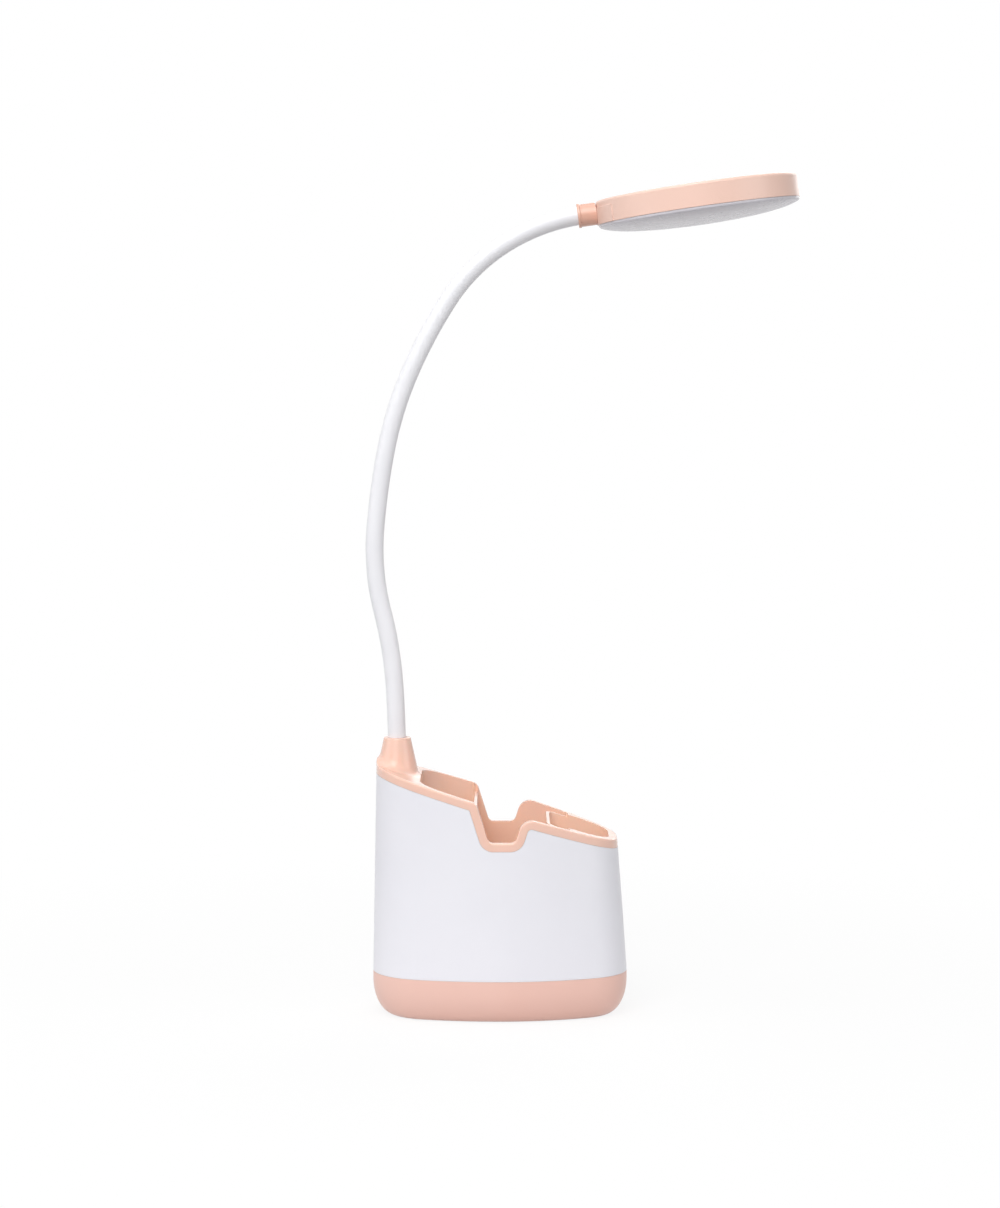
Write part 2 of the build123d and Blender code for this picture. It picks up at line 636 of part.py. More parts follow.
def neck_nut():
    """Nut that pulls the ferrule down into the boss."""
    top = BOSS_ROOT - WASHER_THICKNESS
    hexagon = RegularPolygon(NUT_ACROSS_FLATS / 2, 6, major_radius=False)
    nut = Pos(BOSS_X, 0) * upright(hexagon, top - NUT_HEIGHT, top)
    return nut - rod(FERRULE_RADIUS + SEAM_GAP, 0, HIGH, BOSS_X)


def base_lead():
    """Lead from the gooseneck down to the main board."""
    return rod(WIRE_RADIUS, BOARD_TOP + FIT, NECK_SEAT - FERRULE_CORE_DEPTH - FIT, BOSS_X)


def power_key():
    """Round push key that follows the front wall, with a flange that keeps it behind the wall."""
    key = rod_x(KEY_RADIUS, KEY_BACK, FAR, z=KEY_HEIGHT) & wall_block(SHELL_BOTTOM, KEY_RECESS)
    return key + rod_x(KEY_RADIUS + KEY_FLANGE, KEY_BACK, KEY_BACK + KEY_FLANGE_THICKNESS, z=KEY_HEIGHT)


def switch_stem():
    """Stem between the key and the switch."""
    return rod_x(STEM_RADIUS, KEY_BACK - STEM_LENGTH, KEY_BACK, z=KEY_HEIGHT)


def tact_switch():
    """Sprung switch behind the key, with a well for the stem."""
    half, front = SWITCH_SIDE / 2, BOARD_FACE + SWITCH_DEPTH
    body = block((BOARD_FACE, front), (-half, half), (KEY_HEIGHT - half, KEY_HEIGHT + half))
    return body - rod_x(STEM_RADIUS + KEY_FIT, front - SWITCH_WELL, FAR, z=KEY_HEIGHT)


def switch_board():
    """Small board that carries the switch on the cap's bracket."""
    half, up = SWITCH_BOARD_WIDTH / 2, SWITCH_BOARD_HEIGHT
    return block((BRACKET_FRONT, BOARD_FACE), (-half, half), (BRACKET_TOP - up, BRACKET_TOP))


def neck_stations():
    """Place (X, Z) and lean from upright, in degrees, at both ends of every link."""
    x, z, lean = BOSS_X, NECK_SEAT, 0.0
    stations = [(x, z, lean)]
    for turn in LINK_TURNS:
        half = radians(turn / 2)
        chord = LINK_LENGTH * sin(half) / half if half else LINK_LENGTH
        x += chord * sin(radians(lean) + half)
        z += chord * cos(radians(lean) + half)
        lean += turn
        stations.append((x, z, lean))
    return stations


def along_neck(x, z, lean):
    """Plane at a place on the gooseneck, facing along it."""
    return Plane((x, 0, z), x_dir=(0, 1, 0), z_dir=(sin(radians(lean)), 0, cos(radians(lean))))


def bent_bar(radius, station, turn):
    """Round bar as long as one link, bent to its curve."""
    x, z, lean = station
    start = along_neck(x, z, lean)
    if turn == 0:
        return extrude(start * Circle(radius), LINK_LENGTH)
    bend = LINK_LENGTH / radians(turn)
    centre = (x + bend * cos(radians(lean)), 0, z - bend * sin(radians(lean)))
    return revolve(start * Circle(radius), Axis(centre, (0, 1, 0)), turn)


def neck_link(number):
    """Sleeve and steel core of one link: a ball end that turns in the socket of the link before it."""
    stations = neck_stations()
    here, there = stations[number], stations[number + 1]
    turn = LINK_TURNS[number]
    whole = bent_bar(NECK_RADIUS, here, turn)
    core_space = bent_bar(NECK_CORE_RADIUS + CORE_FIT, here, turn)
    core = bent_bar(NECK_CORE_RADIUS, here, turn)
    base = along_neck(*here)
    if number == 0:
        core += base.location * rod(NECK_CORE_RADIUS, -FERRULE_CORE_DEPTH, 0)
        sleeve = whole - core_space
    else:
        whole += base.location * Sphere(NECK_RADIUS)
        core_space += base.location * rod(NECK_CORE_RADIUS + CORE_FIT, -NECK_RADIUS, 0)
        core += base.location * rod(NECK_CORE_RADIUS, -NECK_RADIUS, 0)
        core &= whole
        sleeve = whole - core_space
    if number < len(LINK_TURNS) - 1:
        socket = along_neck(*there).location * Sphere(NECK_RADIUS + LINK_CLEARANCE)
        sleeve -= socket
        core -= socket
    return sleeve, core


def head_plane():
    """Middle of the head's lower rim, with local X away from the gooseneck and local Z up."""
    x, z, lean = neck_stations()[-1]
    out = HEAD_RADIUS + COLLAR_LENGTH - COLLAR_NECK_DEPTH
    tilt = radians(90 - lean)
    x += out * cos(tilt) + COLLAR_HEIGHT * sin(tilt)
    z += out * sin(tilt) - COLLAR_HEIGHT * cos(tilt)
    return Plane((x, 0, z), x_dir=(cos(tilt), 0, sin(tilt)), z_dir=(-sin(tilt), 0, cos(tilt)))


def head_cover():
    """Coloured ring and top in one moulding, with the pad round the collar and posts for the board."""
    cover = rod(HEAD_RADIUS, 0, HEAD_HEIGHT)
    cover = fillet(cover.edges().sort_by(Axis.Z)[-1], HEAD_EDGE_ROUND)
    spread = HEAD_RADIUS * tan(radians(SOCKET_PAD_HALF_ANGLE))
    wedge = Polyline((0, 0), (-HEAD_RADIUS, spread), (-FAR, 0), (-HEAD_RADIUS, -spread), close=True)
    pad = rod(HEAD_RADIUS + SOCKET_PAD_PROUD, 0, SOCKET_PAD_HEIGHT)
    cover += pad & upright(make_face(wedge.edges()), 0, SOCKET_PAD_HEIGHT)
    cover -= rod(HEAD_RADIUS - HEAD_WALL, -HEAD_HEIGHT, HEAD_HEIGHT - HEAD_TOP)
    for x, y in head_post_places():
        cover += rod(HEAD_POST_RADIUS, LED_BOARD_TOP, HEAD_HEIGHT - HEAD_TOP / 2, x, y)
        cover -= rod(SMALL_SCREW_RADIUS, 0, HEAD_HEIGHT - HEAD_TOP, x, y)
    return cover - rod_x(COLLAR_SPIGOT_RADIUS + FIT, -FAR, -LED_BOARD_RADIUS, z=COLLAR_HEIGHT)


def head_post_places():
    """Centres of the posts inside the head."""
    return [tuple(place.position)[:2] for place in PolarLocations(HEAD_POST_CIRCLE, HEAD_POST_COUNT, 60)]


def head_collar():
    """Collar that takes the gooseneck's upper end and plugs into the ring."""
    start = -(HEAD_RADIUS + COLLAR_LENGTH)
    collar = rod_x(COLLAR_RADIUS, start, -HEAD_RADIUS + COLLAR_RADIUS, z=COLLAR_HEIGHT)
    flange = rod_x(COLLAR_FLANGE_RADIUS, start, start + COLLAR_FLANGE_LENGTH, z=COLLAR_HEIGHT)
    collar += fillet(flange.edges(), COLLAR_FLANGE_LENGTH / 4)
    collar -= rod(HEAD_RADIUS + SOCKET_PAD_PROUD + SEAM_GAP, -HEAD_HEIGHT, 2 * HEAD_HEIGHT)
    spigot_end = COLLAR_SPIGOT_INSIDE - HEAD_RADIUS + HEAD_WALL
    collar += rod_x(COLLAR_SPIGOT_RADIUS, start + COLLAR_LENGTH / 2, spigot_end, z=COLLAR_HEIGHT)
    collar -= rod_x(NECK_RADIUS + FIT, -FAR, start + COLLAR_NECK_DEPTH, z=COLLAR_HEIGHT)
    return collar - rod_x(WIRE_RADIUS, -FAR, 0, z=COLLAR_HEIGHT)


def led_board():
    """Round aluminium board screwed to the cover's posts."""
    board = rod(LED_BOARD_RADIUS, LED_BOARD_BOTTOM, LED_BOARD_TOP - LED_BOARD_FIT)
    for x, y in head_post_places():
        board -= rod(SMALL_SCREW_RADIUS + SCREW_CLEARANCE, 0, HEAD_HEIGHT, x, y)
    return board


def led_board_screws():
    """Small screws that hold the board."""
    one = screw(SMALL_SCREW_HEAD_RADIUS, SMALL_SCREW_HEAD_HEIGHT, SMALL_SCREW_RADIUS, HEAD_SCREW_LENGTH)
    return Compound([Pos(x, y, LED_BOARD_BOTTOM) * one for x, y in head_post_places()])


def leds():
    """Two rings of light-emitting diodes under the board."""
    chip = Pos(0, 0, LED_BOARD_BOTTOM - LED_HEIGHT / 2) * Box(LED_LENGTH, LED_WIDTH, LED_HEIGHT)
    rings = [(REFLECTOR_FOOT_RADIUS - gap, count) for gap, count in zip(LED_RING_GAPS, LED_RING_COUNTS)]
    return Compound([place * chip for radius, count in rings for place in PolarLocations(radius, count)])


def reflector():
    """White dished ring that throws the light down."""
    low = LED_BOARD_BOTTOM - REFLECTOR_DEPTH
    inner, outer, wall = REFLECTOR_FOOT_RADIUS, REFLECTOR_RIM_RADIUS, REFLECTOR_WALL
    top = LED_BOARD_BOTTOM - SEAM_GAP
    corners = [(inner, top), (inner, top - wall), (outer, low), (outer, low + wall), (inner + wall, top)]
    return revolve(Plane.XZ * make_face(Polyline(corners, close=True).edges()), Axis.Z)


def dome_line(radius, depth, rim):
    """Quarter of a flat ellipse, from the middle of the dome out to its rim."""
    angles = [radians(angle) for angle in (0, 20, 40, 60, 75, 90)]
    points = [(radius * sin(angle), rim - depth * cos(angle)) for angle in angles]
    return Spline(points, tangents=[(1, 0), (0, 1)])


def diffuser():
    """Milky lens under the ring: a shallow dome with a spigot that clips inside the ring."""
    radius, rim = HEAD_RADIUS - LENS_INSET, -SEAM_GAP
    spigot = LENS_SPIGOT_RADIUS
    inner = spigot - LENS_SPIGOT_WALL
    edge, top, dome = rim - LENS_EDGE, LENS_SPIGOT_HEIGHT, LENS_DEPTH - LENS_EDGE
    outside = dome_line(radius, dome, edge)
    inside = dome_line(inner, dome - LENS_WALL, edge)
    corners = [(radius, edge), (radius, rim), (spigot, rim), (spigot, top), (inner, top), (inner, edge)]
    middle = Line(inside @ 0, outside @ 0)
    edges = [outside.edge(), *Polyline(corners).edges(), inside.edge(), middle.edge()]
    return revolve(Plane.XZ * make_face(edges), Axis.Z)


def base_pieces():
    """All pieces that stay with the base."""
    return {
        "outer_shell": outer_shell(),
        "holder_liner": holder_liner(),
        "base_cap": base_cap(),
        "anti_slip_pad": anti_slip_pad(),
        "cap_screws": cap_screws(),
        "counterweight": counterweight(),
        "battery_cell": battery_cell(),
        "battery_cradle": battery_cradle(),
        "main_board": main_board(),
        "board_screws": board_screws(),
        "charging_socket": charging_socket(),
        "base_lead": base_lead(),
        "neck_ferrule": neck_ferrule(),
        "neck_washer": neck_washer(),
        "neck_nut": neck_nut(),
        "tact_switch": tact_switch(),
        "switch_board": switch_board(),
        "power_key": power_key(),
        "switch_stem": switch_stem(),
    }


def neck_pieces():
    """Sleeve and core of every link, numbered upwards from the base."""
    pieces = {}
    for number in range(len(LINK_TURNS)):
        sleeve, core = neck_link(number)
        pieces[f"neck_sleeve_{number + 1}"] = sleeve
        pieces[f"neck_core_{number + 1}"] = core
    return pieces


def head_pieces():
    """All pieces of the head, put in place at the gooseneck's end."""
    pieces = {
        "head_collar": head_collar(),
        "head_cover": head_cover(),
        "led_board": led_board(),
        "led_board_screws": led_board_screws(),
        "leds": leds(),
        "reflector": reflector(),
        "diffuser": diffuser(),
    }
    place = head_plane().location
    return {name: place * solid for name, solid in pieces.items()}


os.makedirs("parts", exist_ok=True)
for name, solid in {**base_pieces(), **neck_pieces(), **head_pieces()}.items():
    export_step(solid, f"parts/{name}.step")
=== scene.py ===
from math import radians

import bpy
import numpy as np
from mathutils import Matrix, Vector


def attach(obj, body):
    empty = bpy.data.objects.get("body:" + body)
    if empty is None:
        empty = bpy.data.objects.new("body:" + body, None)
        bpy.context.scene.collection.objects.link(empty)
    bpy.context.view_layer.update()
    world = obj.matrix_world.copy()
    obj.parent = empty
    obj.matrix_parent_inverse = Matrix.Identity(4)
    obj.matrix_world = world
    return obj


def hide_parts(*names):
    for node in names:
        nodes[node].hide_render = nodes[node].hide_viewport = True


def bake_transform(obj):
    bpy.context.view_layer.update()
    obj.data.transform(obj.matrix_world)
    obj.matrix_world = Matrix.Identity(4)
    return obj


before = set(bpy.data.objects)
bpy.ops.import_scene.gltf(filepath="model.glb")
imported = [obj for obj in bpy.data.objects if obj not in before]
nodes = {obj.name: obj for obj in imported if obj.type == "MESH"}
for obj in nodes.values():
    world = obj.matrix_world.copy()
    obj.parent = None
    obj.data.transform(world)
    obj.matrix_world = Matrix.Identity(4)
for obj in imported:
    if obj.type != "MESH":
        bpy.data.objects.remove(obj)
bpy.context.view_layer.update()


# Camera, floor and studio light
# The lamp stands alone on a white table top in a white room. It is seen almost level from one side,
# with a long lens, and lit by soft panels and by the white room around it.

CAMERA_PLACE = (0.0, -1.45, 0.3077)
CAMERA_DIP = 4.34
LENS_MM = 90.0
SENSOR_MM = 36.0
FARTHEST_SEEN = 50.0
WHITE = (1.0, 1.0, 1.0, 1.0)


def feed(tree, socket, value):
    """Sets an input socket to a plain value, or links it to another node's output."""
    if isinstance(value, bpy.types.NodeSocket):
        tree.links.new(value, socket)
    else:
        socket.default_value = value


def add_node(tree, kind, **values):
    """Adds a shader node. Each value goes to its input socket of that name, or else to the node itself."""
    node = tree.nodes.new(kind)
    for key, value in values.items():
        socket = node.inputs.get(key.replace("_", " "))
        if socket is None:
            setattr(node, key, value)
        else:
            feed(tree, socket, value)
    return node


def maths(tree, operation, first, second):
    """Result of an operation on two values."""
    node = add_node(tree, "ShaderNodeMath", operation=operation)
    feed(tree, node.inputs[0], first)
    feed(tree, node.inputs[1], second)
    return node.outputs[0]


def spread(tree, value, low, high, start=0.0, end=1.0, curve="LINEAR"):
    """Spreads a value between two levels: it is low at the start of its range, and high at its end."""
    level = add_node(tree, "ShaderNodeMapRange", interpolation_type=curve, Value=value,
                     From_Min=start, From_Max=end, To_Min=low, To_Max=high)
    return level.outputs[0]


def seen_directly(tree):
    """Mask that is 1 for rays from the camera, a mirror or clear plastic, and 0 for scattered light."""
    path = add_node(tree, "ShaderNodeLightPath")
    camera_or_mirror = maths(tree, "MAXIMUM", path.outputs["Is Camera Ray"], path.outputs["Is Glossy Ray"])
    return maths(tree, "MAXIMUM", camera_or_mirror, path.outputs["Is Transmission Ray"])


def white_room(fill):
    """World that looks white, and lights the lamp evenly at the fill level."""
    world = bpy.data.worlds.new("white_room")
    world.use_nodes = True
    tree = world.node_tree
    tree.nodes.clear()
    background = add_node(tree, "ShaderNodeBackground", Color=WHITE,
                          Strength=spread(tree, seen_directly(tree), fill, 1.0))
    add_node(tree, "ShaderNodeOutputWorld", Surface=background.outputs[0])
    bpy.context.scene.world = world


def table_top(half_side, fade_start, fade_end, shadow_share, near_bounce, far_bounce, paleness):
    """White floor: near the lamp it keeps part of the shadow, and further out it is plain white.

    It throws back the near bounce of the light at the lamp, and less further out, as the table top ends
    there. Where it is seen directly it has its own paleness."""
    corners = np.array([[-1, -1, 0], [1, -1, 0], [1, 1, 0], [-1, 1, 0]], float) * half_side
    mesh = bpy.data.meshes.new("table_top")
    mesh.from_pydata(corners.tolist(), [], [(0, 1, 2, 3)])
    top = bpy.data.objects.new("table_top", mesh)
    bpy.context.scene.collection.objects.link(top)
    paint = bpy.data.materials.new("table_top_white")
    paint.use_nodes = True
    tree = paint.node_tree
    tree.nodes.clear()
    place = add_node(tree, "ShaderNodeTexCoord").outputs["Object"]
    distance = add_node(tree, "ShaderNodeVectorMath", operation="LENGTH", Vector=place).outputs["Value"]
    bounce = spread(tree, distance, near_bounce, far_bounce, fade_start, fade_end)
    matt = add_node(tree, "ShaderNodeBsdfDiffuse",
                    Color=spread(tree, seen_directly(tree), bounce, paleness))
    glow = add_node(tree, "ShaderNodeEmission", Color=WHITE, Strength=1.0)
    plain_white = spread(tree, distance, 1.0 - shadow_share, 1.0, fade_start, fade_end, "SMOOTHSTEP")
    mix = add_node(tree, "ShaderNodeMixShader", Fac=maths(tree, "MULTIPLY", plain_white, seen_directly(tree)))
    tree.links.new(matt.outputs[0], mix.inputs[1])
    tree.links.new(glow.outputs[0], mix.inputs[2])
    add_node(tree, "ShaderNodeOutputMaterial", Surface=mix.outputs[0])
    mesh.materials.append(paint)


def soft_panel(name, place, aim, size, watts):
    """Square soft lamp at a place, facing the point aimed at."""
    lamp = bpy.data.lights.new(name, "AREA")
    lamp.size = size
    lamp.energy = watts
    panel = bpy.data.objects.new(name, lamp)
    bpy.context.scene.collection.objects.link(panel)
    panel.location = place
    panel.rotation_euler = (Vector(aim) - Vector(place)).to_track_quat("-Z", "Y").to_euler()


lens = bpy.data.cameras.new("camera")
lens.lens = LENS_MM
lens.sensor_width = SENSOR_MM
lens.clip_end = FARTHEST_SEEN
camera = bpy.data.objects.new("camera", lens)
camera.location = CAMERA_PLACE
camera.rotation_euler = (radians(90.0 - CAMERA_DIP), 0.0, 0.0)
bpy.context.scene.collection.objects.link(camera)
bpy.context.scene.camera = camera
bpy.context.scene.view_settings.view_transform = "Standard"

NECK_MIDDLE = (0.0, 0.0, 0.2)
ABOVE_RIM = (0.0, 0.0, 0.15)

white_room(fill=0.24)
table_top(half_side=6.0, fade_start=0.12, fade_end=0.5, shadow_share=0.13,
          near_bounce=0.75, far_bounce=0.35, paleness=0.95)
soft_panel("front_panel", (-0.5, -1.7, 1.3), NECK_MIDDLE, size=1.2, watts=16.5)
soft_panel("left_panel", (-1.7, -0.6, 0.8), NECK_MIDDLE, size=1.2, watts=7.0)
soft_panel("right_panel", (1.8, -0.9, 0.6), NECK_MIDDLE, size=1.2, watts=7.5)
soft_panel("high_panel", (-0.2, -1.0, 1.7), ABOVE_RIM, size=1.0, watts=12.0)
soft_panel("overhead_panel", (-0.3, 0.1, 1.6), ABOVE_RIM, size=0.9, watts=3.0)
soft_panel("back_panel", (0.6, 1.6, 1.0), NECK_MIDDLE, size=1.2, watts=9.0)


# White shell
# Injection-moulded ABS in a cool white with a satin skin. It is one open oval sleeve, drafted
# towards its slanted top, which is clamped between the coloured cap and the pen holder.

NOISE_RANGE = (0.3, 0.7)
COLOUR_A, COLOUR_B, COLOUR_RESULT = 6, 7, 2


def new_group(name, inputs, outputs):
    """Empty node group, with its input values and its end node.

    An input with a number is a value, and one with None is a vector. Outputs come with their kind."""
    group = bpy.data.node_groups.new(name, "ShaderNodeTree")
    for label, value in inputs.items():
        kind = "NodeSocketVector" if value is None else "NodeSocketFloat"
        socket = group.interface.new_socket(label, in_out="INPUT", socket_type=kind)
        if value is not None:
            socket.default_value = value
    for label, kind in outputs.items():
        group.interface.new_socket(label, in_out="OUTPUT", socket_type=kind)
    return group, add_node(group, "NodeGroupInput").outputs, add_node(group, "NodeGroupOutput").inputs


def noise(tree, place, scale, detail, roughness=0.5):
    """Value of a noise texture at a place."""
    return add_node(tree, "ShaderNodeTexNoise", Vector=place, Scale=scale, Detail=detail,
                    Roughness=roughness).outputs["Fac"]


def moulded_skin(gloss_scale, peel_scale, peel_weight):
    """Node group for a moulded plastic skin: slow changes of tone, patches of gloss, and its height.

    The height is a fine spark grain, plus a broader peel times its weight."""
    group, given, result = new_group(
        "moulded_skin",
        {"Place": None, "Tone size": 18.0, "Grain size": 2400.0},
        {"Tone": "NodeSocketFloat", "Gloss": "NodeSocketFloat", "Height": "NodeSocketFloat"},
    )
    place = given["Place"]
    grain = noise(group, place, given["Grain size"], detail=2.0, roughness=0.6)
    peel = noise(group, place, peel_scale, detail=1.0)
    height = maths(group, "ADD", maths(group, "MULTIPLY", peel, peel_weight), grain)
    feed(group, result["Tone"], noise(group, place, given["Tone size"], detail=3.0, roughness=0.55))
    feed(group, result["Gloss"], noise(group, place, gloss_scale, detail=5.0, roughness=0.6))
    feed(group, result["Height"], height)
    return group


def rubbed_and_highlit_edge(samples, turn_start, turn_full, patch_scale, least_rub_and_highlight):
    """Node group for a moulded or turned edge: its normal rounded off, and a mask of the edge that marks
    rubbed wear, and on plastics also a painted highlight.

    The mask is how far the rounded normal turns away from the surface's own, broken up by a noise."""
    group, given, result = new_group(
        "rubbed_and_highlit_edge",
        {"Place": None, "Radius": 0.0004},
        {"Rub_and_highlight": "NodeSocketFloat", "Normal": "NodeSocketVector"},
    )
    rounded = add_node(group, "ShaderNodeBevel", samples=samples, Radius=given["Radius"]).outputs[0]
    own = add_node(group, "ShaderNodeNewGeometry").outputs["Normal"]
    match = add_node(group, "ShaderNodeVectorMath", operation="DOT_PRODUCT")
    feed(group, match.inputs[0], rounded)
    feed(group, match.inputs[1], own)
    turned = spread(group, match.outputs["Value"], 0.0, 1.0, turn_start, turn_full)
    patches = noise(group, given["Place"], patch_scale, detail=4.0, roughness=0.65)
    broken = spread(group, patches, least_rub_and_highlight, 1.0, start=0.35, end=0.65)
    feed(group, result["Rub_and_highlight"], maths(group, "MULTIPLY", turned, broken))
    feed(group, result["Normal"], rounded)
    return group


MOULDED_SKIN = moulded_skin(gloss_scale=95.0, peel_scale=260.0, peel_weight=2.5)
RUBBED_AND_HIGHLIT_EDGE = rubbed_and_highlit_edge(samples=4, turn_start=0.985, turn_full=0.85, patch_scale=140.0, least_rub_and_highlight=0.35)


def blend_colours(tree, mask, first, second):
    """Mixes two colours by a mask. The first is plain or another node's output, and the second is plain."""
    mix = add_node(tree, "ShaderNodeMix", data_type="RGBA", Factor=mask)
    feed(tree, mix.inputs[COLOUR_A], (*first, 1.0) if isinstance(first, tuple) else first)
    feed(tree, mix.inputs[COLOUR_B], (*second, 1.0))
    return mix.outputs[COLOUR_RESULT]


def bare_material(name):
    """Material with a Principled shader alone, and its place output for textures."""
    paint = bpy.data.materials.new(name)
    paint.use_nodes = True
    tree = paint.node_tree
    tree.nodes.clear()
    shader = add_node(tree, "ShaderNodeBsdfPrincipled")
    add_node(tree, "ShaderNodeOutputMaterial", Surface=shader.outputs[0])
    return paint, tree, shader, add_node(tree, "ShaderNodeTexCoord").outputs["Object"]


def edge_of(tree, place, radius):
    """Places the edge group, and gives its mask and its rounded normal."""
    edge = add_node(tree, "ShaderNodeGroup", node_tree=RUBBED_AND_HIGHLIT_EDGE, Radius=radius, Place=place)
    return edge.outputs["Rub_and_highlight"], edge.outputs["Normal"]


def bump(tree, shader, height, depth, normal=None):
    """Raises the surface by a height value times a depth in metres, over its rounded normal if it has one."""
    relief = add_node(tree, "ShaderNodeBump", Strength=1.0, Distance=depth, Height=height)
    if normal is not None:
        feed(tree, relief.inputs["Normal"], normal)
    feed(tree, shader.inputs["Normal"], relief.outputs[0])


def plastic(name, light, deep, roughness, grain_depth=2e-6, tone_size=18.0, grain_size=2400.0,
            edge=0.0004, edge_highlight_pallor=0.35, edge_share=0.6):
    """Moulded plastic between two near tones, with a roughness range, a fine grain and paler edges, partly
    rubbed wear and partly a painted highlight.

    The edge is the radius in metres that its corners are rounded to, or 0 where it has no corners."""
    paint, tree, shader, place = bare_material(name)
    skin = add_node(tree, "ShaderNodeGroup", node_tree=MOULDED_SKIN, Place=place,
                    Tone_size=tone_size, Grain_size=grain_size).outputs
    colour = blend_colours(tree, spread(tree, skin["Tone"], 0.0, 1.0, *NOISE_RANGE), light, deep)
    rounded = None
    if edge:
        rub_and_highlight, rounded = edge_of(tree, place, edge)
        # The edges are painted paler: partly rubbed wear, partly a painted highlight where they catch the
        # light.
        pale = [value + edge_highlight_pallor * (1.0 - value) for value in light]
        colour = blend_colours(tree, maths(tree, "MULTIPLY", rub_and_highlight, edge_share), colour, pale)
    feed(tree, shader.inputs["Base Color"], colour)
    feed(tree, shader.inputs["Roughness"], spread(tree, skin["Gloss"], *roughness, *NOISE_RANGE))
    bump(tree, shader, skin["Height"], grain_depth, rounded)
    return paint


def dress(paint, *names):
    """Gives a material to CAD nodes."""
    for name in names:
        mesh = nodes[name].data
        mesh.materials.clear()
        mesh.materials.append(paint)


dress(plastic("shell_white", (0.86, 0.855, 0.905), (0.835, 0.83, 0.885), (0.34, 0.44)), "outer_shell")


# Pen holder moulding
# One moulding in pale coral ABS: the flush band and lip round the slanted, notched rim, three cups,
# and the boss of the gooseneck. It drops into the shell and is screwed to the cap from below.


def painted_light_in_hollows(paint, colour, reach, openness, weight, depth):
    """Lets light soak into a plastic by subsurface scattering, and paints its colour warmer and paler where
    its own walls enclose it: painted light in the shaded hollows.

    The reach is how far a wall counts, in metres. The openness is where that starts, and where it is full."""
    tree = paint.node_tree
    shader = tree.nodes["Principled BSDF"]
    enclosed = add_node(tree, "ShaderNodeAmbientOcclusion", samples=8, only_local=True, Distance=reach)
    # Painted light: where the walls enclose the surface and it lies in shade, its colour is painted paler and
    # warmer.
    painted_light_mask = spread(tree, enclosed.outputs["AO"], 0.0, 1.0, *openness, "SMOOTHSTEP")
    skin = shader.inputs["Base Color"].links[0].from_socket
    feed(tree, shader.inputs["Base Color"], blend_colours(tree, painted_light_mask, skin, colour))
    shader.inputs["Subsurface Weight"].default_value = weight
    shader.inputs["Subsurface Radius"].default_value = (1.0, 0.4, 0.25)
    shader.inputs["Subsurface Scale"].default_value = depth


HOLDER_CORAL = plastic("holder_coral", (0.93, 0.60, 0.49), (0.92, 0.58, 0.47), (0.14, 0.26))
# The insides of the cups get painted light: a paler, warmer colour in their shaded hollows.
painted_light_in_hollows(HOLDER_CORAL, (1.0, 0.69, 0.54), reach=0.05, openness=(0.85, 0.45), weight=0.1, depth=0.012)
dress(HOLDER_CORAL, "holder_liner")


# Foot of the base
# A shallow tub in the same coral ABS, a little pinker, that closes the base and carries the weight,
# the battery and the boards. It stands on a soft foam pad stuck into a recess.

dress(plastic("cap_coral", (0.87, 0.57, 0.49), (0.85, 0.54, 0.46), (0.34, 0.42)), "base_cap")
dress(plastic("pad_foam", (0.045, 0.045, 0.05), (0.025, 0.025, 0.03), (0.75, 0.95),
              grain_depth=2e-5, tone_size=60.0, grain_size=900.0), "anti_slip_pad")


# Metal inside the base
# Zinc-plated screws, a plain steel weight, a nickel-plated ferrule, washer and nut, and the tinned
# charging socket. All have the fine drawn or rolled grain of cheap steel parts.

BARE_STEEL = (0.78, 0.77, 0.75)


def metal(name, light, dark, roughness, grain=(600.0, 600.0, 60.0), grain_depth=2e-6, edge=0.0002,
          edge_share=0.5):
    """Plated steel: tones drawn out along one way, with a roughness range and barer edges."""
    paint, tree, shader, place = bare_material(name)
    stretched = add_node(tree, "ShaderNodeMapping", Vector=place, Scale=grain).outputs[0]
    lines = noise(tree, stretched, 1.0, detail=4.0, roughness=0.6)
    rub_and_highlight, rounded = edge_of(tree, place, edge)
    colour = blend_colours(tree, spread(tree, lines, 0.0, 1.0, *NOISE_RANGE), light, dark)
    colour = blend_colours(tree, maths(tree, "MULTIPLY", rub_and_highlight, edge_share), colour, BARE_STEEL)
    feed(tree, shader.inputs["Base Color"], colour)
    feed(tree, shader.inputs["Roughness"], spread(tree, lines, *roughness, *NOISE_RANGE))
    bump(tree, shader, lines, grain_depth, rounded)
    shader.inputs["Metallic"].default_value = 1.0
    return paint


dress(metal("screw_zinc", (0.62, 0.62, 0.60), (0.50, 0.50, 0.49), (0.28, 0.42)),
      "cap_screws", "board_screws", "led_board_screws")
dress(metal("weight_steel", (0.30, 0.30, 0.31), (0.20, 0.20, 0.21), (0.40, 0.60),
            grain=(60.0, 900.0, 900.0)), "counterweight")
dress(metal("ferrule_nickel", (0.68, 0.66, 0.62), (0.58, 0.56, 0.53), (0.22, 0.34)),
      "neck_ferrule", "neck_washer", "neck_nut")
dress(metal("socket_tin", (0.72, 0.72, 0.73), (0.60, 0.60, 0.62), (0.20, 0.32),
            grain=(80.0, 900.0, 900.0)), "charging_socket")


# Battery, boards and switch
# A round cell in a plain blue sleeve lies in a matt cradle. The boards are glass fibre under green
# solder resist, the switch is a small black push switch, and the lead has a soft white sheath.

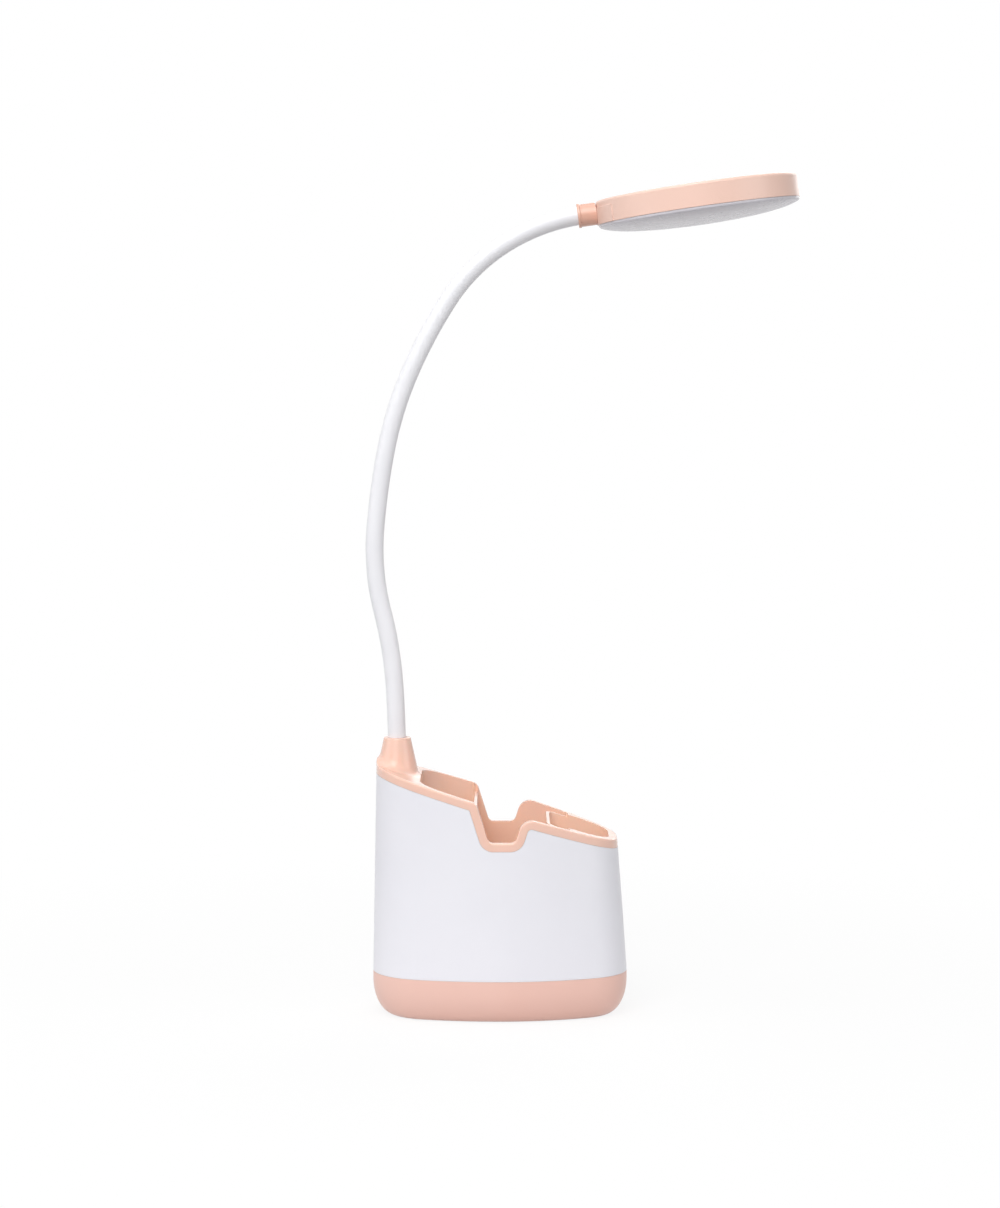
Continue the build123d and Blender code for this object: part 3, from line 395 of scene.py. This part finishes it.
dress(plastic("cell_sleeve", (0.06, 0.20, 0.42), (0.05, 0.17, 0.36), (0.22, 0.30)), "battery_cell")
dress(plastic("cradle_grey", (0.62, 0.62, 0.63), (0.56, 0.56, 0.57), (0.50, 0.62)), "battery_cradle")
dress(plastic("board_green", (0.02, 0.13, 0.05), (0.015, 0.10, 0.04), (0.25, 0.36),
              grain_depth=8e-6, tone_size=900.0, grain_size=1500.0), "main_board", "switch_board")
dress(plastic("switch_black", (0.02, 0.02, 0.02), (0.012, 0.012, 0.012), (0.45, 0.60)),
      "tact_switch", "switch_stem")
dress(plastic("lead_white", (0.75, 0.75, 0.75), (0.68, 0.68, 0.68), (0.50, 0.62)), "base_lead")


# Power key
# A round push key in the shell's white ABS, low in the front wall. Its flange holds it behind the
# wall, and it slides inwards against the switch.

dress(plastic("key_white", (0.86, 0.86, 0.89), (0.83, 0.835, 0.87), (0.30, 0.38)), "power_key")


# Gooseneck
# A wound steel core in a smooth white silicone sleeve. The sleeve is one tube, so each stretch of it
# runs from the middle of one link to the middle of the next, across the joint between them.

NECK_RADIUS = 0.0043
NECK_SEAT = (-0.0496, 0.117003)
LINK_LENGTH = 0.039
TURNS = np.radians([-3.3, -10.9, 18.7, 6.5, 12.6, 9.3, 25.4, 23.7])
LINKS = len(TURNS)
STEPS_PER_LINK = 400


def neck_line(distance):
    """Centre line of the neck: place and lean at distances from its seat.

    The lean grows evenly along each link by that link's turn. The place is the running sum of short
    steps (sin lean, cos lean), taken at the middle of each step, from the seat upwards."""
    steps = np.linspace(0.0, LINK_LENGTH * LINKS, LINKS * STEPS_PER_LINK + 1)
    lean = np.interp(steps, LINK_LENGTH * np.arange(LINKS + 1), np.concatenate([[0.0], np.cumsum(TURNS)]))
    middle = (lean[1:] + lean[:-1]) / 2
    step = np.diff(steps)
    x = NECK_SEAT[0] + np.concatenate([[0.0], np.cumsum(step * np.sin(middle))])
    z = NECK_SEAT[1] + np.concatenate([[0.0], np.cumsum(step * np.cos(middle))])
    return np.interp(distance, steps, x), np.interp(distance, steps, z), np.interp(distance, steps, lean)


def closed_skin(name, rings):
    """Mesh from an array of rings (rows, points around, 3), with a fan on each end so that it is closed."""
    rows, around = rings.shape[:2]
    poles = np.stack([rings[0].mean(0), rings[-1].mean(0)])
    points = np.concatenate([rings.reshape(-1, 3), poles])
    row, column = np.meshgrid(np.arange(rows - 1), np.arange(around), indexing="ij")
    following = (column + 1) % around
    walls = np.stack([row * around + column, row * around + following,
                      (row + 1) * around + following, (row + 1) * around + column], -1).reshape(-1, 4)
    edge = np.arange(around)
    turned = (edge + 1) % around
    low = np.stack([np.full(around, rows * around), turned, edge], -1)
    last = (rows - 1) * around
    high = np.stack([np.full(around, rows * around + 1), last + edge, last + turned], -1)
    mesh = bpy.data.meshes.new(name)
    mesh.from_pydata(points.tolist(), [], walls.tolist() + low.tolist() + high.tolist())
    mesh.polygons.foreach_set("use_smooth", np.ones(len(mesh.polygons), bool))
    ends = np.zeros(len(mesh.edges) * 2, int)
    mesh.edges.foreach_get("vertices", ends)
    ends = ends.reshape(-1, 2)
    first_ring = (ends < around).all(1)
    last_ring = ((ends >= last) & (ends < last + around)).all(1)
    mesh.edges.foreach_set("use_edge_sharp", first_ring | last_ring)
    piece = bpy.data.objects.new(name, mesh)
    bpy.context.scene.collection.objects.link(piece)
    return piece


def neck_tube(name, start, end, around=64, rows=57):
    """Stretch of the sleeve: circles of the neck's radius, square to its centre line."""
    x, z, lean = neck_line(np.linspace(start, end, rows))
    turn = np.linspace(0.0, 2 * np.pi, around, endpoint=False)
    across = NECK_RADIUS * np.cos(turn)
    side = NECK_RADIUS * np.sin(turn)
    ring_x = x[:, None] + across * np.cos(lean)[:, None]
    ring_z = z[:, None] - across * np.sin(lean)[:, None]
    ring_y = np.broadcast_to(side, ring_x.shape)
    return closed_skin(name, np.stack([ring_x, ring_y, ring_z], -1))


SLEEVE = plastic("sleeve_silicone", (0.90, 0.90, 0.93), (0.87, 0.87, 0.905), (0.36, 0.46),
                 tone_size=30.0, grain_size=1600.0, edge=0)

foot = neck_tube("neck_skin_foot", 0.0, LINK_LENGTH / 2)
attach(foot, "base")
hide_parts("neck_sleeve_1")
stretches = [foot]
for joint in range(1, LINKS):
    middle = joint * LINK_LENGTH
    stretch = neck_tube(f"neck_skin_{joint}", middle - LINK_LENGTH / 2, middle + LINK_LENGTH / 2)
    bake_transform(stretch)
    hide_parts(f"neck_sleeve_{joint + 1}")
    stretches.append(stretch)
tip = neck_tube("neck_skin_tip", (LINKS - 0.5) * LINK_LENGTH, LINKS * LINK_LENGTH)
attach(tip, "lamp_head")
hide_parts("neck_sleeve_8")
stretches.append(tip)
for stretch in stretches:
    stretch.data.materials.append(SLEEVE)

dress(metal("core_steel", (0.42, 0.42, 0.43), (0.28, 0.28, 0.29), (0.35, 0.50),
            grain=(300.0, 300.0, 2500.0)), *[f"neck_core_{number}" for number in range(1, LINKS + 1)])


# Lamp head
# A coral ring and top in one moulding, with a glossier collar that takes the neck. Inside are the
# aluminium board with its light-emitting diodes and a white reflector, behind a milky lens.

dress(plastic("head_coral", (0.92, 0.64, 0.54), (0.90, 0.61, 0.51), (0.32, 0.40)), "head_cover")
dress(plastic("collar_coral", (0.80, 0.46, 0.35), (0.78, 0.44, 0.33), (0.10, 0.16)), "head_collar")
dress(plastic("lens_milky", (0.73, 0.705, 0.755), (0.70, 0.675, 0.725), (0.24, 0.32), edge=0), "diffuser")
dress(plastic("reflector_white", (0.85, 0.85, 0.85), (0.80, 0.80, 0.80), (0.24, 0.32)), "reflector")
dress(plastic("board_white", (0.82, 0.82, 0.80), (0.76, 0.76, 0.74), (0.40, 0.50)), "led_board")
dress(plastic("led_phosphor", (0.86, 0.66, 0.12), (0.80, 0.58, 0.08), (0.35, 0.50),
              grain_depth=1e-5, tone_size=900.0, grain_size=3000.0), "leds")
